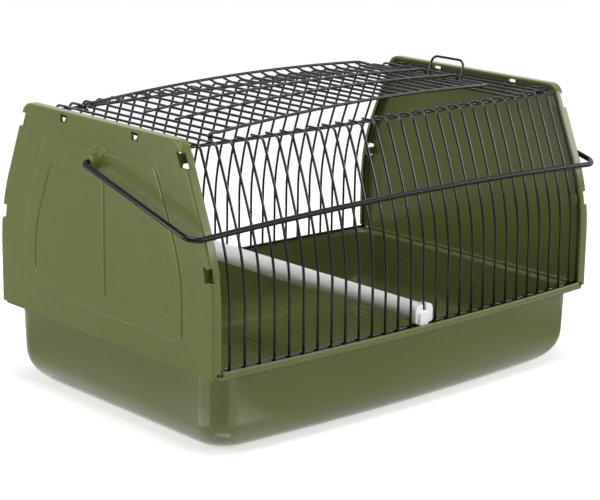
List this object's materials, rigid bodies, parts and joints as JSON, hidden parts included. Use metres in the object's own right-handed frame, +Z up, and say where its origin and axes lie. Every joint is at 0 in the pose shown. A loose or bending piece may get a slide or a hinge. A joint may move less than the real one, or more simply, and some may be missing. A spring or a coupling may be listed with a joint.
{
  "type": "bird travel carrier",
  "caption": "Small bird travel carrier: deep plastic tray, moulded end panels joined by a bent wire cage, domed wire roof door, wire bail handle and a clip-in perch.",
  "frame": {"origin": "middle of the footprint, on the surface the tray stands on", "axes": "+X along the length from the left end panel to the right one, -Y towards the front with the handle at rest, +Z up"},
  "size_m": [0.3244, 0.212, 0.1833],
  "materials": {
    "moulded_tray": "semi-gloss olive green moulding",
    "moulded_panel": "semi-gloss olive green moulding",
    "coated_wire": "glossy black coating on steel wire",
    "handle_wire": "glossy black coating on steel wire",
    "perch_plastic": "smooth white plastic"
  },
  "bodies": {
    "tray_body": {"tray": "moulded_tray"},
    "cage_body": {"left_panel": "moulded_panel", "right_panel": "moulded_panel", "front_grille_wires": "coated_wire", "back_grille_wires": "coated_wire", "left_top_wires": "coated_wire", "right_top_wires": "coated_wire", "front_end_wires": "coated_wire", "back_end_wires": "coated_wire", "top_end_wires": "coated_wire", "front_top_bar": "coated_wire", "back_top_bar": "coated_wire", "front_bottom_bar": "coated_wire", "back_bottom_bar": "coated_wire"},
    "door_body": {"door_frame": "coated_wire", "door_wires": "coated_wire", "front_cross_bar": "coated_wire", "back_cross_bar": "coated_wire", "pull_loop": "coated_wire"},
    "handle_body": {"carry_handle": "handle_wire"},
    "perch_body": {"perch_bar": "perch_plastic", "front_perch_clip": "perch_plastic", "back_perch_clip": "perch_plastic"}
  },
  "joints": [
    {"name": "cage_lift", "type": "slide", "parent": "tray_body", "child": "cage_body", "axis": [0, 0, 1], "range_m": [0, 0.12]},
    {"name": "door_hinge", "type": "hinge", "parent": "cage_body", "child": "door_body", "pos_m": [-0.11636, 0, 0.1693], "axis": [0, -1, 0], "range_deg": [0, 155]},
    {"name": "handle_swing", "type": "hinge", "parent": "cage_body", "child": "handle_body", "pos_m": [0, 0, 0.151], "axis": [-1, 0, 0], "range_deg": [0, 205]},
    {"name": "perch_height", "type": "slide", "parent": "cage_body", "child": "perch_body", "axis": [0, 0, 1], "range_m": [0, 0.02]}
  ]
}
